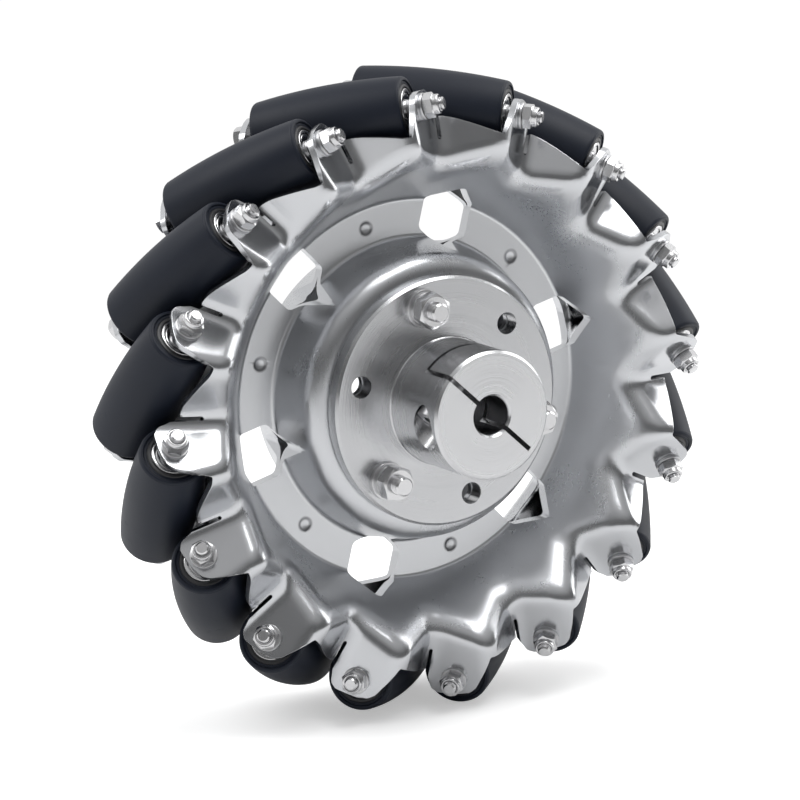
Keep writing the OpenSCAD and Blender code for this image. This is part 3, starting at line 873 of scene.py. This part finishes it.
# %% Make the clamp screw
M6_R, M6_BORE, M6_PITCH, M6_FLATS, M6_HEAD_H, SOCKET_FLATS = 3.0, 3.05, 1.0, 10.0, 4.0, 5.0
screw = lathe("clamp_screw_turned", [(0, -6), (4.6, -6)] + arc(4.7, -5.7, 0.3, 270, 360, 3)
              + [(5.0, -0.3), (4.7, 0), (M6_R, 0), (M6_R, 18.4), (2.4, 19), (0, 19)], 64)
cut(screw, post(corner_r(SOCKET_FLATS), 7, shifted(0, 0, -6.5), 6))
soften(screw, 0.12, 1, 45)
smooth(screw, 30)
place(screw, WHEEL @ CLAMP @ shifted(SCREW_OFF, SEAT_Y, SCREW_Z) @ turned_by(90, "X"))
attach(screw, "wheel")
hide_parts("clamp_screw")
print("the clamp screw has", len(screw.data.polygons), "faces")

# %% [markdown]
# ## Hub bolts
# Three of the flange's six holes hold bolts from inside the dome, each with a flat
# washer, a split spring washer and a nut.

# %% Make the hub's fasteners
WASHER_H, SPRING_H, HUB_NUT_H, HUB_TIP = 1.4, 1.6, 5.0, 3.4
SPRING_Z = WASHER_H + 0.02
NUT_Z = SPRING_Z + SPRING_H
seats = [on_hub_hole(i, FACE_Z) for i in USED_HOLES]

hub_bolt = hex_bolt("hub_bolt", M6_R, FLANGE_T + SHEET, NUT_Z + HUB_NUT_H + HUB_TIP, M6_PITCH,
                    NUT_Z, M6_FLATS, M6_HEAD_H)
hub_bolts = repeat(hub_bolt, "hub_bolts_plated",
                   [seat @ turned_by(20 * i) for i, seat in enumerate(seats)])

hub_nut = hexagon("hub_nut", M6_FLATS, HUB_NUT_H, "both", M6_BORE)
hub_nuts = repeat(hub_nut, "hub_nuts_plated", [seat @ shifted(0, 0, NUT_Z) @ turned_by(23 * i + 7)
                                               for i, seat in enumerate(seats)])

flat = lathe("flat_washer", rounded_ring(3.1, 6.0, 0, WASHER_H, 0.2), 64)
split = lathe("spring_washer", rounded_ring(3.1, 5.3, 0, SPRING_H, 0.15), 64)
cut(split, box_cutter((0, -0.45, -1), (8, 0.45, 3), turned_by(24, "X")))
place(split, shifted(0, 0, SPRING_Z))
hub_washers = repeat(join(flat, split), "hub_washers_plated",
                     [seat @ turned_by(140 - 95 * i) for i, seat in enumerate(seats)])

for piece, node, finish in ((hub_bolts, "hub_bolts", "bright_steel"),
                            (hub_nuts, "hub_nuts", "bright_steel"),
                            (hub_washers, "hub_washers", "washer_steel")):
    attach(piece, "wheel")
    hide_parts(node)
    print(piece.name, len(piece.data.polygons), "faces")

# %% [markdown]
# ## Writing shader maths as sums
# Shader nodes are easier to read as formulas. A Wire holds one node's output, and the
# operators on it add Math nodes, with a plain number on either side of the sign.

# %% Wires that stand in sums
class Wire:
    """One output of a shader node, which can stand in sums."""

    def __init__(self, tree, socket):
        self.tree, self.socket = tree, socket

    def maths(self, operation, *terms):
        return self.tree.add("Math", {"operation": operation}, dict(enumerate(terms)))

    def __add__(self, other): return self.maths("ADD", self, other)
    def __radd__(self, other): return self.maths("ADD", other, self)
    def __sub__(self, other): return self.maths("SUBTRACT", self, other)
    def __rsub__(self, other): return self.maths("SUBTRACT", other, self)
    def __mul__(self, other): return self.maths("MULTIPLY", self, other)
    def __rmul__(self, other): return self.maths("MULTIPLY", other, self)
    def __pow__(self, other): return self.maths("POWER", self, other)


print("a Wire adds, subtracts, multiplies and takes powers")

# %% [markdown]
# ### One method for any other node
# A Tree is a material's or a world's nodes. Its add method makes any node from its type,
# its settings and what goes into its sockets; the rest of its methods are the few nodes
# that this wheel's finishes use. Patterns read Object coordinates, in metres.

# %% A tree of nodes
class Tree:
    def __init__(self, tree):
        self.tree = tree
        tree.nodes.clear()

    def link(self, value, socket):
        """Link a Wire to a socket, or set the socket to a plain value."""
        if isinstance(value, Wire):
            self.tree.links.new(value.socket, socket)
        else:
            socket.default_value = value

    def add(self, kind, settings=None, inputs=None, output=0):
        node = self.tree.nodes.new("ShaderNode" + kind)
        for key, value in (settings or {}).items():
            setattr(node, key, value)
        for key, value in (inputs or {}).items():
            self.link(value, node.inputs[key])
        return Wire(self, node.outputs[output])

    def where(self):
        return self.add("TexCoord", output="Object")

    def noise(self, vector, scale, detail=3.0, rough=0.55):
        return self.add("TexNoise", {"noise_dimensions": "3D"},
                        {"Vector": vector, "Scale": scale, "Detail": detail,
                         "Roughness": rough}, "Fac")

    def stretch(self, vector, x, y, z):
        return self.add("Mapping", None, {"Vector": vector, "Scale": (x, y, z)})

    def ramp(self, wire, low, high):
        """0 where wire is at low, 1 at high, smooth between."""
        return self.add("MapRange", {"interpolation_type": "SMOOTHSTEP"},
                        {"Value": wire, "From Min": low, "From Max": high})

    def blend(self, factor, a, b):
        """Mix of two colours, each of three numbers or a Wire."""
        a, b = (c + (1,) if isinstance(c, tuple) else c for c in (a, b))
        return self.add("Mix", {"data_type": "RGBA"}, {0: factor, 6: a, 7: b}, 2)

    def bump(self, height, strength, distance):
        return self.add("Bump", None, {"Height": height, "Strength": strength,
                                       "Distance": distance * MM}, "Normal")

    def split(self, vector):
        """The three parts of a vector."""
        parts = self.tree.nodes.new("ShaderNodeSeparateXYZ")
        self.link(vector, parts.inputs[0])
        return [Wire(self, part) for part in parts.outputs]

    def radius(self, vector):
        """Distance from the wheel's axle, and the vector's parts, in metres."""
        x, y, z = self.split(vector)
        return (x * x + z * z) ** 0.5, x, y, z


print("a tree's own nodes:", [m for m in vars(Tree) if not m.startswith("_")])

# %% [markdown]
# ### A finish
# Each finish is one material with a Principled shader. What is the same all over a
# surface is set on the shader itself, and what changes over it is linked.

# %% Materials named for their finish
class Finish(Tree):
    def __init__(self, name, **constants):
        self.material = bpy.data.materials.new(name)
        self.material.use_nodes = True
        super().__init__(self.material.node_tree)
        out = self.tree.nodes.new("ShaderNodeOutputMaterial")
        self.shader = self.tree.nodes.new("ShaderNodeBsdfPrincipled")
        self.tree.links.new(self.shader.outputs[0], out.inputs[0])
        self.feed(**constants)

    def feed(self, **values):
        """Set or link the shader's sockets, named with _ for a space."""
        for key, value in values.items():
            self.link(value, self.shader.inputs[key.replace("_", " ")])


print("a finish starts from", Finish.__mro__[1].__name__)


# %% [markdown]
# ## Stainless sheet
# Pressed stainless comes from the mill with a satin grain and is drawn over the tool,
# so it is smoother and brighter on the outside of the folds. Broad, faint clouds change
# its gloss, a fine stretched grain breaks its reflections, and a dark ring of painted
# shade lies on each spot weld's hollow.

# %% Finish the plates
def stainless():
    steel = Finish("satin stainless sheet", Metallic=1.0)
    where = steel.where()
    radius, x, y, z = steel.radius(where)
    half_pitch = math.radians(SIXTH / 2)
    clouds = steel.noise(where, 26, 3)
    grain = steel.noise(steel.stretch(where, 1, 1, 0.06), 1500, 2)
    scuffs = steel.noise(steel.stretch(where, 0.25, 1, 1), 420, 4, 0.7)
    drawn = steel.ramp(radius, 0.071, 0.080)  # from the cone to the folds
    flat_ring = steel.ramp(radius, 0.0475, 0.049) * (1 - steel.ramp(radius, 0.0605, 0.062))
    rough = 0.29 - 0.08 * drawn + 0.03 * flat_ring
    rough = rough + 0.10 * (clouds - 0.5) + 0.05 * (grain - 0.5)
    rough = rough + 0.02 * steel.ramp(scuffs, 0.62, 0.78)
    tone = steel.blend(clouds, (0.54, 0.55, 0.57), (0.63, 0.64, 0.66))
    tone = steel.blend(flat_ring * 0.6, tone, (0.62, 0.63, 0.645))
    up = y.maths("SIGN", y) * z * -1
    turn = up.maths("ARCTAN2", up, x) - math.radians(WELD_A)
    aside = turn.maths("PINGPONG", turn, half_pitch) * radius  # from the nearest weld's line
    apart = ((radius - WELD_R * MM) ** 2 + aside * aside) ** 0.5
    # A dark ring of painted shade on the wall of each spot weld's hollow.
    weld_hollow_shade = steel.ramp(apart, 0.0011, 0.0018) * (1 - steel.ramp(apart, 0.0021, 0.0029))
    tone = steel.blend(weld_hollow_shade * 0.75, tone, (0.20, 0.20, 0.21))
    steel.feed(Base_Color=tone, Roughness=rough,
               Normal=steel.bump(grain + 0.05 * scuffs, 0.05, 0.04))
    return steel.material


plate_steel = stainless()
print("made", plate_steel.name)


# %% [markdown]
# ## Turned aluminium
# A lathe tool leaves very fine rings. They follow the radius on faces and the length on
# the barrel, so noise read from those two distances alone draws them. Rings too fine to
# see one by one spread each highlight across themselves, which gives turned faces their
# fans. The flange is given a darker tone than the nose.

# %% Finish the hub
def turned_aluminium():
    metal = Finish("turned aluminium", Metallic=1.0)
    where = metal.where()
    radius, x, y, z = metal.radius(where)
    wobble = metal.noise(where, 60, 2)
    along = metal.add("CombineXYZ", None, {0: radius, 1: y, 2: 0.0})
    grooves, bands = metal.noise(along, 3800, 1), metal.noise(along, 420, 2)
    rough = 0.26 + 0.10 * (bands - 0.5) + 0.05 * (wobble - 0.5)
    tone = metal.blend(bands, (0.58, 0.585, 0.60), (0.70, 0.705, 0.715))
    on_flange = metal.ramp(radius, 0.0203, 0.0206)
    tone = metal.blend(on_flange * 0.30, tone, (0.36, 0.365, 0.38))
    # Inside the bore the tone is painted dark grey, as painted shade in the hole.
    outside_bore = metal.ramp(radius, 0.0061, 0.0064)
    tone = metal.blend(outside_bore, (0.30, 0.30, 0.315), tone)
    metal.feed(Base_Color=tone, Roughness=rough,
               Normal=metal.bump(grooves + 0.8 * bands, 1.0, 0.030))
    return metal.material


hub_aluminium = turned_aluminium()
print("made", hub_aluminium.name)


# %% [markdown]
# ## Plated and ground steels
# Nuts, bolts and washers are bright zinc plated; bearings are ground and polished; the
# clamp screw is duller. They share one recipe with their own tone and gloss.

# %% Finish the small steel
def small_steel(name, low, high, roughness, spots):
    """Steel whose grey runs from low to high, a little bluer than a true grey."""
    steel = Finish(name, Metallic=1.0)
    where = steel.where()
    clouds = steel.noise(where, 130, 3)
    marks = steel.noise(where, 1400, 2)
    darker, lighter = ((grey, grey, grey + 0.01) for grey in (low, high))
    steel.feed(Base_Color=steel.blend(clouds, darker, lighter),
               Roughness=roughness + spots * (clouds - 0.5) + 0.05 * (marks - 0.5),
               Normal=steel.bump(marks, 0.08, 0.03))
    return steel.material


bright_steel = small_steel("bright plated steel", 0.60, 0.74, 0.24, 0.12)
washer_steel = small_steel("plated washer steel", 0.58, 0.70, 0.30, 0.12)
screw_steel = small_steel("satin screw steel", 0.36, 0.46, 0.34, 0.10)
bearing_steel = small_steel("ground bearing steel", 0.66, 0.76, 0.18, 0.08)
print("made four small steels")


# %% [markdown]
# ## Rubber and moulded plastic
# The rubber is almost black with a breath of blue, and matt: a soft sheen shows where it
# is seen at a glance. Fine pits come from the mould. The cores are a plain black plastic.

# %% Finish the rollers
def moulded_rubber():
    rubber = Finish("matt moulded rubber", Specular_IOR_Level=0.27)
    where = rubber.where()
    clouds = rubber.noise(where, 45, 4)
    pits = rubber.noise(where, 1900, 2)
    dust = rubber.ramp(rubber.noise(where, 210, 5, 0.65), 0.60, 0.78)
    tone = rubber.blend(clouds, (0.0062, 0.0090, 0.0175), (0.0100, 0.0138, 0.0245))
    tone = rubber.blend(dust * 0.15, tone, (0.030, 0.032, 0.037))
    rough = 0.50 + 0.12 * (clouds - 0.5) + 0.10 * dust
    rubber.feed(Base_Color=tone, Roughness=rough, Normal=rubber.bump(pits + clouds, 0.16, 0.08))
    return rubber.material


def moulded_plastic():
    plastic = Finish("black moulded plastic", Specular_IOR_Level=0.5)
    where = plastic.where()
    clouds = plastic.noise(where, 300, 3)
    tone = plastic.blend(clouds, (0.017, 0.017, 0.019), (0.030, 0.030, 0.033))
    plastic.feed(Base_Color=tone, Roughness=0.38 + 0.1 * (clouds - 0.5),
                 Normal=plastic.bump(clouds, 0.1, 0.05))
    return plastic.material


roller_rubber, core_plastic = moulded_rubber(), moulded_plastic()
print("made", roller_rubber.name, "and", core_plastic.name)

# %% [markdown]
# ## Putting the finishes on
# Each piece takes the finish that the table below gives it.

# %% Dress the pieces
dressing = ((plate_steel, (front_sheet, rear_sheet)), (hub_aluminium, (hub,)),
            (bright_steel, (axle_bolts, axle_nuts, hub_bolts, hub_nuts)),
            (washer_steel, (axle_washers, roller_spacers, hub_washers)),
            (screw_steel, (screw,)), (bearing_steel, (inner_rings, *bearings)),
            (roller_rubber, rubbers), (core_plastic, cores))
for finish, dressed in dressing:
    for piece in dressed:
        piece.data.materials.clear()
        piece.data.materials.append(finish)
print(sum(len(dressed) for _, dressed in dressing), "pieces dressed")

# %% [markdown]
# ## The studio floor
# The wheel stands on a pale floor, which a camera ray sees grow whiter with distance
# until it meets the white backdrop without a line. The wheel's shadow still falls on it.

# %% Lay the floor
BLACK, WHITE = (0.0, 0.0, 0.0), (1.0, 1.0, 1.0)
clear_selection()
bpy.ops.mesh.primitive_plane_add(size=8, location=(0, 0, -WHEEL_R * MM))
floor = bpy.context.object
floor.name = "studio_floor"
pale = Finish("pale studio floor", Roughness=0.9, Specular_IOR_Level=0.1, Emission_Strength=1.0)
reach = pale.add("VectorMath", {"operation": "LENGTH"}, {0: pale.where()}, "Value")
seen = pale.add("LightPath", output="Is Camera Ray")
far = pale.ramp(reach, 0.2, 0.9) * seen
pale.feed(Base_Color=pale.blend(far, (0.86, 0.86, 0.86), BLACK),
          Emission_Color=pale.blend(0.42 * seen + 0.58 * far, BLACK, WHITE))
floor.data.materials.append(pale.material)
print("the floor lies", WHEEL_R, "mm below the axle")

# %% [markdown]
# ## The room's light
# Polished metal shows its surroundings more than itself. The room is white behind the
# wheel and dimmer behind the camera, so that curved metal runs from bright to dark.

# %% Light the room
def room():
    world = bpy.data.worlds.new("studio room")
    bpy.context.scene.world = world
    world.use_nodes = True
    sky = Tree(world.node_tree)
    out = sky.tree.nodes.new("ShaderNodeOutputWorld")
    x, y, z = sky.split(sky.add("TexCoord", output="Generated"))
    behind = sky.ramp(y, -0.25, 0.35)
    overhead = sky.ramp(z, 0.25, 0.8)
    level = 0.15 + 0.72 * behind + 0.35 * overhead * (1 - behind)
    camera_ray = sky.add("LightPath", output="Is Camera Ray")
    glow = sky.tree.nodes.new("ShaderNodeBackground")
    sky.link(WHITE + (1.0,), glow.inputs["Color"])
    sky.link(level + (1 - level) * camera_ray, glow.inputs["Strength"])
    sky.tree.links.new(glow.outputs[0], out.inputs[0])
    return world


print("made", room().name)

# %% [markdown]
# ## Lamps
# Two broad lamps and a smaller one on the right give the folds their bright edges. An
# area lamp shines along its own -Z, which is aimed at the wheel's centre.

# %% Hang the lamps
def lamp(name, size, power, spot):
    bpy.ops.object.light_add(type="AREA", location=spot)
    light = bpy.context.object
    light.name = name
    light.data.shape, light.data.size, light.data.size_y = "RECTANGLE", size[0], size[1]
    light.data.energy = power
    light.rotation_euler = (-Vector(spot)).to_track_quat("-Z", "Y").to_euler()
    return light


lamp("left_softbox", (0.6, 0.9), 7, (-0.95, 0.35, 1.0))
lamp("top_softbox", (1.0, 0.5), 8, (0.25, -0.25, 1.2))
lamp("right_softbox", (0.5, 0.9), 4, (1.05, 0.0, 0.45))

# %% [markdown]
# ## The camera
# The wheel is seen from its hub's side, from the left and a little above. FIELD is the
# width in metres that the camera takes in at the wheel.

# %% Set the camera
AZIMUTH, ELEVATION = math.radians(-30.0), math.radians(11.0)
DISTANCE, FIELD, SENSOR = 1.10, 0.251, 36
aim = Vector((-0.009, -0.012, -0.001))
bpy.ops.object.camera_add()
camera = bpy.context.object
camera.location = aim + DISTANCE * Vector((math.sin(AZIMUTH) * math.cos(ELEVATION),
                                           -math.cos(AZIMUTH) * math.cos(ELEVATION),
                                           math.sin(ELEVATION)))
camera.rotation_euler = (aim - camera.location).to_track_quat("-Z", "Y").to_euler()
camera.data.sensor_width = SENSOR
camera.data.lens = SENSOR * DISTANCE / FIELD
bpy.context.scene.camera = camera
bpy.context.scene.view_settings.view_transform = "Standard"
print("camera at", [round(v, 3) for v in camera.location], "lens", round(camera.data.lens, 1))

# %% [markdown]
